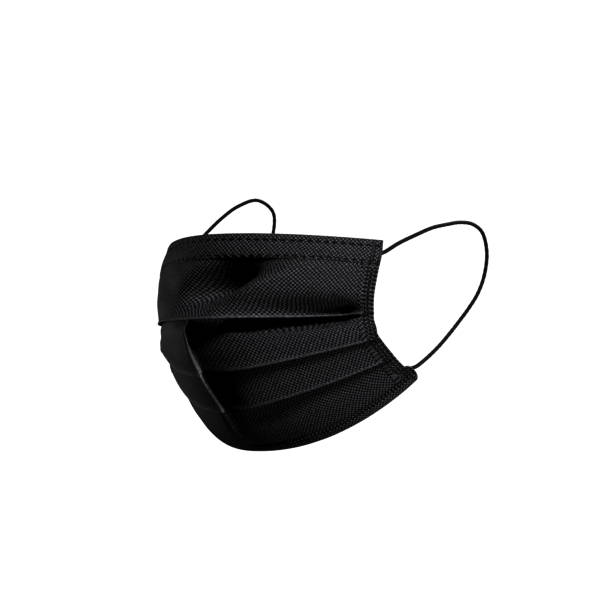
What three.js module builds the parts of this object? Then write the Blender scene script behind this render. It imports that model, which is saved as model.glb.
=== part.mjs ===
// Pleated disposable surgical mask, in the open form that it has when worn.
//
// Millimetres, +Z up. The mask faces -Y and the wearer's left is +X. The origin is where
// the top edge crosses the bridge of the nose, which is where the mask sits.
//
// The cloth is one strip folded into three downward pleats. Every solid here is bent over
// the same smooth skin: a few level lines run from side to side round the face, and the
// skin is the surface through them. A place on it is (across, level): across is -1 to 1
// from the right edge to the left one, level counts the rows of LEVEL_LINES. Depth is
// then measured in millimetres inward from the skin.

import * as THREE from 'three';

// ---- Driving dimensions -------------------------------------------------------------

const PIECE_GAP = 0.3;           // between neighbouring pieces
const CLOTH_WALL = 1;            // three plies of nonwoven, lying loosely together
const HEM_WALL = 1.8;            // the same cloth folded over once and welded
const BOTTOM_HEM_HEIGHT = 5;     // from the weld line to the lower edge
const WELD_STRIP_WIDTH = 8;      // side strip, measured round the cheek
const WELD_STRIP_EDGE = 2;       // its thickness at the rear edge
const TAB_REACH = 2.8;           // how far its rounded lower end stands back from the edge
const CORD_DIAMETER = 1.8;       // round knitted elastic

// The lines that run from side to side, from the nose down to the chin. The centre values
// lie on the middle plane. The side values are where the line meets the side edge.
// bend: small is a sharp centre crease, large an even curve round the face.
// rise: how late the line leaves its centre height on the way to the side.
const LEVEL_LINES = [
  { centreY: 0, centreZ: 0, sideX: 67.2, sideY: 51, sideZ: -2.7, bend: 0.73, rise: 2.5 },
  { centreY: -3.3, centreZ: -10.8, sideX: 68.6, sideY: 46.6, sideZ: -14.1, bend: 0.71, rise: 2.2 },
  { centreY: -8.7, centreZ: -24.6, sideX: 67.4, sideY: 43.8, sideZ: -27.5, bend: 0.67, rise: 1.7 },
  { centreY: -11.9, centreZ: -40.4, sideX: 66.2, sideY: 45.2, sideZ: -37, bend: 0.6, rise: 1.2 },
  { centreY: -8.5, centreZ: -54, sideX: 67.6, sideY: 45, sideZ: -43.2, bend: 0.42, rise: 1.25 },
  { centreY: 0, centreZ: -66.5, sideX: 68.4, sideY: 46.8, sideZ: -48.4, bend: 0.3, rise: 1.32 },
  { centreY: 15.3, centreZ: -82.4, sideX: 70.2, sideY: 55.8, sideZ: -56.8, bend: 0.39, rise: 1.52 },
  { centreY: 27.4, centreZ: -94.2, sideX: 71.2, sideY: 62.5, sideZ: -61.8, bend: 0.46, rise: 1.82 },
  { centreY: 43.5, centreZ: -99.9, sideX: 71, sideY: 71.5, sideZ: -67.4, bend: 0.51, rise: 2.26 },
];
const TOP_EDGE = 0;
const BAND_SEAM = 1;
const BOTTOM_EDGE = 8;

// One row for each pleat: the level line of its lip, how far the cloth is tucked up
// behind the lip, and the pitch of its three layers, edge to edge and where it gapes.
const PLEATS = [
  { lip: 3, tuck: 8.5, pitch: 1.3, gapingPitch: 2.2 },
  { lip: 5, tuck: 8.5, pitch: 1.3, gapingPitch: 1.8 },
  { lip: 6, tuck: 7.5, pitch: 1.3, gapingPitch: 1.7 },
];

// Soft hollows and ridges of the worn cloth, the same on both sides. A place and half
// sizes on the skin, how far it leans outward per level, and its depth in millimetres.
const DENTS = [
  { across: 0.22, level: 1.5, halfAcross: 0.1, halfLevels: 0.6, lean: -0.17, depth: 3 },
  { across: 0.42, level: 2, halfAcross: 0.12, halfLevels: 0.8, lean: -0.29, depth: -1.5 },
];

// Each ear loop leaves the rear edge of its side strip near the top, goes round the back
// of the ear, and comes back to the strip's lower tab. Hand-set route points.
const LEFT_LOOP_ROUTE = [
  [68, 49.9, -8.6], [71, 58.5, -3.5], [74, 68, 1], [76.5, 77.5, 5],
  [78, 87.5, 7.5], [79, 98, 9.5], [79.5, 108.5, 9.5], [78.5, 118.5, 6],
  [77.5, 123.5, -3], [76, 123.5, -13.5], [75, 119, -23], [74, 112, -31],
  [73.5, 104, -38], [73.5, 95.5, -44.5], [73.5, 87, -50.5], [73, 77.5, -55.5],
  [72.6, 68.6, -61.3],
];
const RIGHT_LOOP_ROUTE = [
  [-68.1, 50.2, -8.5], [-67, 60, -2], [-66.5, 69.5, 6], [-65.5, 78.5, 14],
  [-63.5, 87.5, 22], [-60.5, 97, 29], [-56, 107.5, 33], [-53, 117, 27.5],
  [-55, 119.5, 16], [-59, 118, 4.5], [-63, 114.5, -6.5], [-66.5, 109.5, -17],
  [-69, 103, -27.5], [-71, 95.5, -37], [-72, 87, -45.5], [-72.5, 78, -53.5],
  [-72.6, 68.6, -61.3],
];

// Fineness of the faceted surfaces.
const COLUMNS = 32;              // across the whole face
const PANEL_STEPS = [6, 5, 4, 5];  // down each panel, between the pleats
const STRIP_COLUMNS = 3;         // across one side strip
const STRIP_ROWS = 48;           // down one side strip
const ARC_SAMPLES = 72;          // used to measure lengths down a column
const TURN_STEPS = 3;            // facets round one fold
const CORD_SIDES = 8;
const CORD_STEPS = 48;

// ---- The skin -----------------------------------------------------------------------

// One column of LEVEL_LINES, carried smoothly between its rows (Catmull-Rom).
function lineValue(name, level) {
  const row = Math.min(Math.floor(level), BOTTOM_EDGE - 1);
  const part = level - row;
  const value = (index) => {
    const inside = THREE.MathUtils.clamp(index, TOP_EDGE, BOTTOM_EDGE);
    return LEVEL_LINES[inside][name] + (index - inside) * endSlope(name, inside);
  };
  const [before, start, end, after] = [-1, 0, 1, 2].map((step) => value(row + step));
  const slopeIn = (end - before) / 2;
  const slopeOut = (after - start) / 2;
  return start + part * slopeIn
    + part ** 2 * (3 * (end - start) - 2 * slopeIn - slopeOut)
    + part ** 3 * (2 * (start - end) + slopeIn + slopeOut);
}

// The slope with which the first and last rows run on past the end of the table.
function endSlope(name, index) {
  const near = index === TOP_EDGE ? TOP_EDGE : BOTTOM_EDGE - 1;
  return LEVEL_LINES[near + 1][name] - LEVEL_LINES[near][name];
}

// How far the dents push the skin back at a place.
function dentDepth(across, level) {
  return DENTS.reduce((sum, dent) => {
    const below = level - dent.level;
    const aside = Math.abs(across) - dent.across - dent.lean * below;
    const spread = (aside / dent.halfAcross) ** 2 + (below / dent.halfLevels) ** 2;
    return sum + dent.depth * Math.exp(-spread);
  }, 0);
}

function skinPoint(across, level) {
  const line = (name) => lineValue(name, level);
  const out = Math.abs(across);
  const bend = line('bend');
  const back = (Math.hypot(out, bend) - bend) / (Math.hypot(1, bend) - bend);
  return new THREE.Vector3(
    line('sideX') * across,
    THREE.MathUtils.lerp(line('centreY'), line('sideY'), back) + dentDepth(across, level),
    THREE.MathUtils.lerp(line('centreZ'), line('sideZ'), out ** line('rise')),
  );
}

// The direction in which depth is measured. It is taken over a wide patch of the skin,
// so that the layers behind the centre crease don't run into each other.
const PATCH_ACROSS = 0.14;
const PATCH_LEVEL = 0.3;

function inwardDirection(across, level) {
  const top = Math.max(level - PATCH_LEVEL, TOP_EDGE);
  const bottom = Math.min(level + PATCH_LEVEL, BOTTOM_EDGE);
  const alongLine = skinPoint(across + PATCH_ACROSS, level)
    .sub(skinPoint(across - PATCH_ACROSS, level));
  const downColumn = skinPoint(across, bottom).sub(skinPoint(across, top));
  return alongLine.cross(downColumn).normalize();
}

// Where "across" lies when it is a distance in from the side edge, measured on the skin.
const EDGE_STEP = 0.01;

function acrossAtInset(inset, level) {
  const step = skinPoint(1, level).distanceTo(skinPoint(1 - EDGE_STEP, level));
  return 1 - (inset * EDGE_STEP) / step;
}

// ---- Columns and lengths down the cloth ---------------------------------------------

// A column of the cloth between the side strips: share is -1 to 1. It can be asked for
// the point at a distance down the cloth from its top edge, at a depth behind the skin.
function makeColumn(share) {
  const acrossAt = (level) =>
    share * acrossAtInset(WELD_STRIP_WIDTH + PIECE_GAP / 2, level);
  const levels = [];
  const lengths = [];
  for (let i = 0; i <= ARC_SAMPLES; i++) {
    const level = (BOTTOM_EDGE * i) / ARC_SAMPLES;
    const step = i === 0 ? 0
      : skinPoint(acrossAt(level), level).distanceTo(
        skinPoint(acrossAt(levels[i - 1]), levels[i - 1]));
    levels.push(level);
    lengths.push(i === 0 ? 0 : lengths[i - 1] + step);
  }
  const lengthAtLevel = (level) => {
    const place = (level / BOTTOM_EDGE) * ARC_SAMPLES;
    const i = Math.min(Math.floor(place), ARC_SAMPLES - 1);
    return THREE.MathUtils.lerp(lengths[i], lengths[i + 1], place - i);
  };
  const levelAtLength = (length) => {
    const last = ARC_SAMPLES - 1;
    const i = Math.min(Math.max(lengths.findLastIndex((l) => l <= length), 0), last);
    const part = (length - lengths[i]) / (lengths[i + 1] - lengths[i]);
    return THREE.MathUtils.lerp(levels[i], levels[i + 1], part);
  };
  const pointAt = (length, depth) => {
    const level = levelAtLength(length);
    const across = acrossAt(level);
    return skinPoint(across, level)
      .addScaledVector(inwardDirection(across, level), depth);
  };
  return { share, lengthAtLevel, pointAt };
}

// ---- The section of the cloth -------------------------------------------------------

// A section is a list of stations down the middle of the wall. Each has a length down
// the cloth, a depth behind the skin and the direction of travel, as an angle: 0 is
// downward, and a quarter turn is inward.

function straight(section, from, to, steps, depthAt, heading = 0) {
  for (let i = 0; i <= steps; i++) {
    const length = THREE.MathUtils.lerp(from, to, i / steps);
    section.push({ length, depth: depthAt(length), heading });
  }
}

// A half turn of the cloth, from one layer to the next one inward.
function turn(section, length, depth, pitch, startHeading, direction) {
  const radius = pitch / 2;
  for (let i = 1; i < TURN_STEPS; i++) {
    const heading = startHeading + (direction * Math.PI * i) / TURN_STEPS;
    const swing = (Math.PI * i) / TURN_STEPS;
    section.push({
      length: length + direction * radius * Math.sin(swing),
      depth: depth + radius * (1 - Math.cos(swing)),
      heading,
    });
  }
}

// The pleated cloth in one column, as stations from the band seam to the bottom hem.
function pleatedSection(column) {
  // The layers lie tight at the centre crease and at the sides, and gape between them.
  const gape = Math.sin(Math.PI * Math.sqrt(Math.abs(column.share)));
  const pleats = PLEATS.map(({ lip, tuck, pitch, gapingPitch }) => ({
    lip: column.lengthAtLevel(lip),
    tuck,
    pitch: THREE.MathUtils.lerp(pitch, gapingPitch, gape),
  }));
  const start = column.lengthAtLevel(BAND_SEAM) + PIECE_GAP / 2;
  const bottom = column.lengthAtLevel(BOTTOM_EDGE);
  const end = bottom - BOTTOM_HEM_HEIGHT - PIECE_GAP / 2;

  // A panel hangs two layers deep at the lip above it and comes out to the skin at its
  // own lip. Above that lip it carries on up, behind the panel that covers it.
  const panelDepth = (panel, length) => {
    const middle = CLOTH_WALL / 2;
    if (panel === 0) {
      return middle;
    }
    const above = pleats[panel - 1];
    const below = panel < pleats.length ? pleats[panel].lip : bottom;
    if (length < above.lip) {
      return panelDepth(panel - 1, length) + 2 * above.pitch;
    }
    const way = (length - above.lip) / (below - above.lip);
    return middle + 2 * above.pitch * (1 - THREE.MathUtils.smoothstep(way, 0, 1));
  };

  const section = [];
  let from = start;
  PANEL_STEPS.forEach((steps, panel) => {
    const depthAt = (length) => panelDepth(panel, length);
    if (panel > 0) {
      straight(section, from, pleats[panel - 1].lip, 2, depthAt);
      from = pleats[panel - 1].lip;
      section.pop();
    }
    if (panel === pleats.length) {
      straight(section, from, end, steps, depthAt);
      return;
    }
    const { lip, tuck, pitch } = pleats[panel];
    const lipTurn = lip - pitch / 2;
    const rootTurn = lip - tuck + pitch / 2;
    straight(section, from, lipTurn, steps, depthAt);
    turn(section, lipTurn, depthAt(lipTurn), pitch, 0, 1);
    straight(section, lipTurn, rootTurn, 2, (l) => depthAt(l) + pitch, Math.PI);
    turn(section, rootTurn, depthAt(rootTurn) + pitch, pitch, Math.PI, -1);
    from = rootTurn;
  });
  return section;
}

// A flat doubled hem between two lengths, thinner where its fold rounds off.
const HEM_FOLD = 0.8;
const HEM_FOLD_SHARE = 0.45;

function hemSection(from, to, foldedAt) {
  const stops = [from, from + HEM_FOLD, (from + to) / 2, to - HEM_FOLD, to];
  return stops.map((length) => {
    const rounded = length === foldedAt ? HEM_FOLD_SHARE : 1;
    return { length, depth: HEM_WALL / 2, heading: 0, wall: HEM_WALL * rounded };
  });
}

// ---- Closed solids ------------------------------------------------------------------

// A ring of points: down the front of the wall and back up behind it.
function wallRing(column, section) {
  const offset = (side) => section.map(({ length, depth, heading, wall = CLOTH_WALL }) =>
    column.pointAt(
      length + (side * Math.sin(heading) * wall) / 2,
      depth - (side * Math.cos(heading) * wall) / 2));
  return [...offset(1), ...offset(-1).reverse()];
}

// A closed solid swept through rings that all have the same number of points. The ends
// are closed by pairing the points across the wall.
function sweepSolid(rings) {
  const size = rings[0].length;
  const points = rings.flat();
  const faces = [];
  const quad = (a, b, c, d) => faces.push(a, b, c, a, c, d);
  for (let ring = 0; ring < rings.length - 1; ring++) {
    for (let i = 0; i < size; i++) {
      const next = (i + 1) % size;
      const here = ring * size;
      const there = here + size;
      quad(here + i, here + next, there + next, there + i);
    }
  }
  const lastRing = (rings.length - 1) * size;
  for (let i = 0; i < size / 2 - 1; i++) {
    const mate = size - 1 - i;
    quad(i, mate, mate - 1, i + 1);
    quad(lastRing + i, lastRing + i + 1, lastRing + mate - 1, lastRing + mate);
  }
  const geometry = new THREE.BufferGeometry();
  geometry.setAttribute('position',
    new THREE.Float32BufferAttribute(points.flatMap((p) => p.toArray()), 3));
  geometry.setIndex(faces);
  geometry.computeVertexNormals();
  return geometry;
}

const columns = Array.from({ length: COLUMNS + 1 }, (_, i) =>
  makeColumn((2 * i) / COLUMNS - 1));

function sweptAcross(sectionOf) {
  return sweepSolid(columns.map((column) => wallRing(column, sectionOf(column))));
}

// ---- Side strips --------------------------------------------------------------------

// The rear edge of the strip stands back in a rounded tab at its lower end.
const TAB_LEVEL = 7.5;
const TAB_HALF_LEVELS = 0.5;

function tabReach(level) {
  const off = (level - TAB_LEVEL) / TAB_HALF_LEVELS;
  return Math.abs(off) < 1 ? TAB_REACH * Math.sqrt(1 - off ** 2) : 0;
}

// The folded layers are pressed and welded together here: the strip is as thick as the
// stack of layers where it meets the cloth, and thins toward its rear edge.
function sideStrip(side) {
  const stackDepth = CLOTH_WALL + 2 * PLEATS[0].pitch;
  const inner = WELD_STRIP_WIDTH - PIECE_GAP / 2;
  const rings = [];
  for (let row = 0; row <= STRIP_ROWS; row++) {
    const level = (BOTTOM_EDGE * row) / STRIP_ROWS;
    const front = [];
    const behind = [];
    for (let i = 0; i <= STRIP_COLUMNS; i++) {
      const part = i / STRIP_COLUMNS;
      const inset = THREE.MathUtils.lerp(inner, -tabReach(level), part);
      const across = side * acrossAtInset(inset, level);
      const skin = skinPoint(across, level);
      const inward = inwardDirection(across, level);
      const thickness = THREE.MathUtils.lerp(stackDepth, WELD_STRIP_EDGE, part);
      front.push(skin.clone());
      behind.push(skin.addScaledVector(inward, thickness));
    }
    const ring = [...front, ...behind.reverse()];
    rings.push(side > 0 ? ring.reverse() : ring);
  }
  return sweepSolid(rings);
}

// ---- Ear loops ----------------------------------------------------------------------

function earLoop(route) {
  const path = new THREE.CatmullRomCurve3(route.map((p) => new THREE.Vector3(...p)));
  const profile = new THREE.Shape();
  for (let i = 0; i < CORD_SIDES; i++) {
    const angle = (2 * Math.PI * i) / CORD_SIDES;
    const x = (CORD_DIAMETER / 2) * Math.cos(angle);
    const y = (CORD_DIAMETER / 2) * Math.sin(angle);
    if (i === 0) {
      profile.moveTo(x, y);
    } else {
      profile.lineTo(x, y);
    }
  }
  profile.closePath();
  return new THREE.ExtrudeGeometry(profile, { steps: CORD_STEPS, extrudePath: path });
}

// ---- Assembly -----------------------------------------------------------------------

const clothBlack = { color: 0x17181b, roughness: 0.85, metalness: 0 };
const weldBlack = { color: 0x0f1012, roughness: 0.7, metalness: 0 };
const elasticBlack = { color: 0x111214, roughness: 0.8, metalness: 0 };

const mask = new THREE.Group();
mask.name = 'surgical_mask';

function addPiece(name, geometry, finish) {
  const piece = new THREE.Mesh(geometry, new THREE.MeshStandardMaterial(finish));
  piece.name = name;
  mask.add(piece);
}

addPiece('pleated_cloth', sweptAcross(pleatedSection), clothBlack);

addPiece('nose_band', sweptAcross((column) => {
  const seam = column.lengthAtLevel(BAND_SEAM) - PIECE_GAP / 2;
  return hemSection(0, seam, 0);
}), clothBlack);

addPiece('bottom_hem', sweptAcross((column) => {
  const edge = column.lengthAtLevel(BOTTOM_EDGE);
  return hemSection(edge - BOTTOM_HEM_HEIGHT + PIECE_GAP / 2, edge, edge);
}), clothBlack);

addPiece('side_strip_left', sideStrip(1), weldBlack);
addPiece('side_strip_right', sideStrip(-1), weldBlack);
addPiece('ear_loop_left', earLoop(LEFT_LOOP_ROUTE), elasticBlack);
addPiece('ear_loop_right', earLoop(RIGHT_LOOP_ROUTE), elasticBlack);

export default mask;
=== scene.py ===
# %% [markdown]
# # A pleated surgical mask, open as it is when worn
#
# This lesson builds the finish of a black disposable mask in Blender. The solids with the
# real sizes come from a CAD model: here they are loaded as a fixed frame, and each one is
# replaced by a finer piece of cloth or cord that lies in the same place.
#
# The mask is one strip of soft nonwoven cloth. It is folded into three pleats, hemmed at
# the top and the bottom, and pressed flat and welded down both sides. A round elastic
# loop goes from each side round the ear. Nothing in it is hard, so the whole lesson is
# about folds: each piece is a sheet bent over the same smooth skin.

import math

import bpy
import numpy as np
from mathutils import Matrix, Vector


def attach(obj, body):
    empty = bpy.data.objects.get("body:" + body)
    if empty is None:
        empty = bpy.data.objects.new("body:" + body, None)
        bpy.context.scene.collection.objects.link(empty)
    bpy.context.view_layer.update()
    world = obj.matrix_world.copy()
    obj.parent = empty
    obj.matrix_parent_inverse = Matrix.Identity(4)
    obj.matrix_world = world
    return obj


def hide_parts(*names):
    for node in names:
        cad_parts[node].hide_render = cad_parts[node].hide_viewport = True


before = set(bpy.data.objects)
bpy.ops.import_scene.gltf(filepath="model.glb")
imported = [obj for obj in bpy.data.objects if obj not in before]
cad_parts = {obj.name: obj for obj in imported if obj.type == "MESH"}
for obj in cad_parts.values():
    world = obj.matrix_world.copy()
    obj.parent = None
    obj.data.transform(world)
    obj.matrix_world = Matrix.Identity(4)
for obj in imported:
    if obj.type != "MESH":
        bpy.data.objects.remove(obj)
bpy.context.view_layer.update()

# %% [markdown]
# ## The camera
#
# Lengths below are in millimetres, because that is how cloth is cut, and MM turns them
# into Blender's metres. The mask faces -Y and the origin is at the bridge of the nose.
#
# The camera stands to the wearer's left, a little lower than the middle of the mask, and
# far off with a long lens, so that near and far edges keep nearly the same scale. It
# looks past the middle, toward the near ear loop and upward, which leaves room for the
# loop on that side. The elevation, the lens and the aim come from the same fit, made by a
# separate script, as the level lines below.

# %% Camera
MM = 0.001

VIEW_AZIMUTH = math.radians(40)
VIEW_ELEVATION = math.radians(-3.58)
VIEW_DISTANCE = 900
VIEW_LENS = 112.9
MASK_MIDDLE = np.array([0.0, 35.0, -50.0])
LOOK_ASIDE = 23.9                 # how far past the middle the camera looks, sideways
LOOK_ABOVE = 22.0                 # and upward

toward_camera = np.array([
    math.sin(VIEW_AZIMUTH) * math.cos(VIEW_ELEVATION),
    -math.cos(VIEW_AZIMUTH) * math.cos(VIEW_ELEVATION),
    math.sin(VIEW_ELEVATION),
])
view_right = np.array([math.cos(VIEW_AZIMUTH), math.sin(VIEW_AZIMUTH), 0])
view_up = np.cross(toward_camera, view_right)
camera_place = MASK_MIDDLE + VIEW_DISTANCE * toward_camera
looked_at = MASK_MIDDLE + LOOK_ASIDE * view_right + LOOK_ABOVE * view_up

camera = bpy.data.objects.new("camera", bpy.data.cameras.new("camera"))
bpy.context.collection.objects.link(camera)
camera.data.lens = VIEW_LENS
camera.location = camera_place * MM
camera.rotation_euler = Vector(looked_at - camera_place).to_track_quat("-Z", "Y").to_euler()
bpy.context.scene.camera = camera
print("camera at", np.round(camera_place), "mm")

# %% [markdown]
# ## Curves through a few rows
#
# Nearly every shape here is set by a short table, and a smooth curve is drawn through its
# rows. A Catmull-Rom curve is a good one for that: it passes through every row, and its
# slope at a row is half the step between the two neighbours. One function serves the ear
# loops, whose rows are points, and later the cloth, whose rows are level lines.

# %% A smooth curve through the rows of a table
def through(rows, place):
    """Values on a Catmull-Rom curve through rows, at place 0 for the first row, 1 for the
    next one and so on. With part the way from one row (start) to the next one (end), the
    value is start + part * slope_in + part^2 * (3 (end - start) - 2 slope_in - slope_out)
    + part^3 * (2 (start - end) + slope_in + slope_out). The table runs on straight past
    both its ends."""
    rows = np.asarray(rows, float)
    place = np.asarray(place, float)
    padded = np.vstack([2 * rows[0] - rows[1], rows, 2 * rows[-1] - rows[-2]])
    row = np.clip(np.floor(place).astype(int), 0, len(rows) - 2)
    part = (place - row)[..., None]
    before, start, end, after = (padded[row + step] for step in range(4))
    slope_in, slope_out = (end - before) / 2, (after - start) / 2
    return (start + part * slope_in
            + part ** 2 * (3 * (end - start) - 2 * slope_in - slope_out)
            + part ** 3 * (2 * (start - end) + slope_in + slope_out))


def evenly_along(line, spacing):
    """The line again as points the same distance apart, found by reading its coordinates
    off against the length walked so far."""
    walked = np.concatenate([[0], np.cumsum(np.linalg.norm(np.diff(line, axis=0), axis=1))])
    at = np.linspace(0, walked[-1], round(walked[-1] / spacing) + 1)
    return np.stack([np.interp(at, walked, line[:, axis]) for axis in range(3)], axis=1)


print("halfway between 0 and 1, before 4:", through([[0], [1], [4]], 0.5))

# %% [markdown]
# ## A mesh from a grid of points
#
# numpy works out a whole surface at once, as an array of points with rows and columns.
# This helper joins the points into four-cornered faces. The corners go down, across, up
# and back, so that a grid whose rows go down and whose columns go to the wearer's left
# has its faces looking forward.
#
# It can also store two things that the materials need: a UV map that holds millimetres
# along the cloth, so a pattern keeps its real size however the cloth is bent, and
# attributes, which are numbers kept at each point.

# %% Grid to mesh
def grid_object(name, points, uv=None, tube=False, capped=False, **attributes):
    """A smooth mesh over a grid of points in millimetres, (rows, columns, 3). A tube joins
    its last column to its first one, and capped closes its two ends."""
    rows, columns = points.shape[:2]
    index = np.arange(rows * columns).reshape(rows, columns)
    if tube:
        index = np.hstack([index, index[:, :1]])
    faces = np.stack([index[:-1, :-1], index[1:, :-1], index[1:, 1:], index[:-1, 1:]], -1)
    faces = faces.reshape(-1, 4).tolist()
    if capped:
        faces += [index[0, :columns].tolist(), index[-1, :columns][::-1].tolist()]
    mesh = bpy.data.meshes.new(name)
    mesh.from_pydata((points.reshape(-1, 3) * MM).tolist(), [], faces)
    mesh.shade_smooth()
    if uv is not None:
        corner = np.zeros(len(mesh.loops), np.int32)
        mesh.loops.foreach_get("vertex_index", corner)
        layer = mesh.uv_layers.new(name="cloth_mm")
        layer.data.foreach_set("uv", uv.reshape(-1, 2)[corner].astype(np.float32).ravel())
    for attribute, values in attributes.items():
        layer = mesh.attributes.new(attribute, "FLOAT", "POINT")
        layer.data.foreach_set("value", np.ravel(values).astype(np.float32))
    piece = bpy.data.objects.new(name, mesh)
    bpy.context.collection.objects.link(piece)
    print(f"{name}: {len(mesh.polygons)} faces")
    return piece


# %% [markdown]
# ## The ear loops
#
# Each loop is a round elastic cord, about 1.8 mm thick, with rubber yarns inside a
# knitted polyester cover. It is limp, but on the ear it is pulled, so it stands in one
# clean arc behind the mask. Its ends run in behind the margin, where they are welded
# down. The right loop stands higher and is longer than the left one.
#
# The three points at each end of a route were given where the loop comes out from behind
# its margin. The fifteen between them were fitted by a separate script and rounded to
# half a millimetre, and the lowest of them was then moved a little.
#
# A curve with a round bevel would give a plain tube. Here the cover's yarns cross each
# other in two sets of spirals, and the cord's surface is raised where a yarn passes over.
# So the tube is worked out as points: walk along the path, and at each step go round a
# circle whose radius swells with the yarns.

# %% Routes of the ear loops
CORD_DIAMETER = 1.8
LEFT_LOOP_ROUTE = [
    (62.5, 44.7, -9.6), (65, 47.3, -9.3), (67.8, 50.6, -8.4),
    (71, 58.5, -3.5), (74, 68, 1), (76.5, 77.5, 5),
    (78, 87.5, 7.5), (79, 98, 9.5), (79.5, 108.5, 9.5), (78.5, 118.5, 6),
    (77.5, 123.5, -3), (76, 123.5, -13.5), (75, 119, -23), (74, 112, -31),
    (73.5, 104, -38), (73.5, 95.5, -44.5), (73.5, 87, -50.5), (73, 77.8, -56.4),
    (72.4, 69.3, -60.9), (69.3, 66.1, -62.0), (65.6, 64, -64.6),
]
RIGHT_LOOP_ROUTE = [
    (-62.5, 44.3, -9.6), (-65, 47, -9.3), (-67.6, 50.3, -8.4),
    (-67, 60, -2), (-66.5, 69.5, 6), (-65.5, 78.5, 14),
    (-63.5, 87.5, 22), (-60.5, 97, 29), (-56, 107.5, 33), (-53, 117, 27.5),
    (-55, 119.5, 16), (-59, 118, 4.5), (-63, 114.5, -6.5), (-66.5, 109.5, -17),
    (-69, 103, -27.5), (-71, 95.5, -37), (-72, 87, -45.5), (-72.5, 78, -53.8),
    (-72.2, 69.3, -60.4), (-69.3, 66, -62.0), (-65.6, 63.9, -64.6),
]
CURVE_STEPS = 40                  # points that the curve gets for each row of its route
CORD_STEP = 0.3                   # between the rings of the tube
CORD_SIDES = 24
YARNS = 4                         # yarns that wind each way round the cord
YARN_PITCH = 3.2                  # length of cord in which the pattern comes round again
YARN_RELIEF = 0.07
print("rows of the two routes:", len(LEFT_LOOP_ROUTE), len(RIGHT_LOOP_ROUTE))

# %% Knitted tube
def knitted_tube(name, route, diameter):
    """A tube round the curve through route. A ring is the path's point plus radius * (cos
    turn * side + sin turn * over). side is square to the path and lies in the plane that
    fits the loop best, and over is square to both. radius is half the diameter plus relief
    * (yarn - 1/2), where yarn is the higher of two waves, cos(yarns * turn + winding) and
    cos(yarns * turn - winding)."""
    places = np.linspace(0, len(route) - 1, CURVE_STEPS * len(route))
    line = evenly_along(through(route, places), CORD_STEP)
    along = np.gradient(line, axis=0)
    along /= np.linalg.norm(along, axis=1, keepdims=True)
    spine = line - line.mean(axis=0)
    plane_normal = np.linalg.svd(spine, full_matrices=False)[2][2]
    side = np.cross(along, plane_normal)
    side /= np.linalg.norm(side, axis=1, keepdims=True)
    over = np.cross(along, side)
    turn = np.linspace(0, 2 * np.pi, CORD_SIDES, endpoint=False)[None, :]
    walked = CORD_STEP * np.arange(len(line))[:, None]
    winding = 2 * np.pi * walked / YARN_PITCH
    yarn = np.maximum(np.cos(YARNS * turn + winding), np.cos(YARNS * turn - winding))
    radius = (diameter / 2 - YARN_RELIEF / 2 + YARN_RELIEF * yarn)[..., None]
    points = (line[:, None] + radius * (np.cos(turn)[..., None] * side[:, None]
                                        + np.sin(turn)[..., None] * over[:, None]))
    return grid_object(name, points, tube=True, capped=True, yarn=yarn), line


loops = {}
for side_name, route in (("left", LEFT_LOOP_ROUTE), ("right", RIGHT_LOOP_ROUTE)):
    loop, line = knitted_tube(f"elastic_loop_{side_name}", route, CORD_DIAMETER)
    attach(loop, "root")
    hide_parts(f"ear_loop_{side_name}")
    loops[side_name] = loop

# %% [markdown]
# ## The skin of the face
#
# The worn cloth follows one smooth shape, and every piece is bent over it. That shape is
# set by nine level lines which run from cheek to cheek, from the top edge down to the
# chin. Each has a height and a depth at the middle and at the side. Its bend says whether
# it turns sharply at the middle, as a folded crease does, or in an even curve, and its
# rise says how late it leaves its middle height on the way out.
#
# A place on the skin is (across, level): across goes from -1 at the right edge to 1 at
# the left one, and level counts the lines. Between the lines, every column of the table
# is carried smoothly by the curve from above.
#
# The rows are the same as in the CAD model. Most of their values weren't chosen by hand: a
# separate script fitted the whole table, and after rounding 19 of its 63 values were
# changed, by up to 1.8 mm.

# %% Level lines
LEVEL_LINES = {
    # name:        centre_y, centre_z, side_x, side_y, side_z, bend, rise
    "top_edge":    (0, 0, 67.2, 51, -2.7, 0.73, 2.5),
    "band_seam":   (-3.3, -10.8, 68.6, 46.6, -14.1, 0.71, 2.2),
    "nose_bulge":  (-8.7, -24.6, 67.4, 43.8, -27.5, 0.67, 1.7),
    "lip_1":       (-11.9, -40.4, 66.2, 45.2, -37, 0.6, 1.2),
    "mouth_bulge": (-8.5, -54, 67.6, 45, -43.2, 0.42, 1.25),
    "lip_2":       (0, -66.5, 68.4, 46.8, -48.4, 0.3, 1.32),
    "lip_3":       (15.3, -82.4, 70.2, 55.8, -56.8, 0.39, 1.52),
    "chin_bulge":  (27.4, -94.2, 71.2, 62.5, -61.8, 0.46, 1.82),
    "bottom_edge": (43.5, -99.9, 71, 71.5, -67.4, 0.51, 2.26),
}
LEVEL = {name: float(row) for row, name in enumerate(LEVEL_LINES)}
LEVEL_ROWS = np.array(list(LEVEL_LINES.values()))
LEVEL_MM = 12                     # about what one level measures at the sides
print("level of each line:", LEVEL)

# %% [markdown]
# On top of that come the soft dents and swells that cloth has once it has been opened out
# of its packet and pulled over a nose. Each row is one of them: a place, half its size
# along and down the skin, how far it leans outward on the way down, and how deep it is. A
# row with a negative depth stands out.
#
# The two sides have rows of their own, since a worn mask is never even. On the left the
# cloth is pushed in under the stiff band, swells in a slanting fold, and sinks in again
# over the first lip. On the right it is pulled nearly smooth. The band and the welded
# margins are stiff and hold their line, so all dents begin below the one and fade out
# towards the others.

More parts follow.
